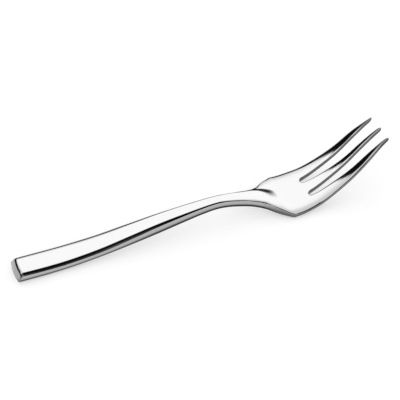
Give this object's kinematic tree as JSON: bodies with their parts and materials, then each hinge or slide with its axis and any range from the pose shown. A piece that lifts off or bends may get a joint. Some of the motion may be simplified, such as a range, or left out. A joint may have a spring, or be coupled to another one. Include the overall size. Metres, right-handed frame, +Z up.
{
  "type": "oyster fork",
  "caption": "Small three-tined table fork forged in one piece, with a thick tapering handle, a raised arched neck and a short wide dished head whose tines curve upward.",
  "frame": {"origin": "centre of the bounding box in plan, on the table plane that the fork rests on", "axes": "+X along the fork from the handle toward the tips of the tines, +Y across the fork to the left, +Z up from the table"},
  "size_m": [0.1516, 0.024, 0.0239],
  "materials": {
    "polished_steel": "polished"
  },
  "bodies": {
    "root": {"fork": "polished_steel"}
  },
  "joints": []
}
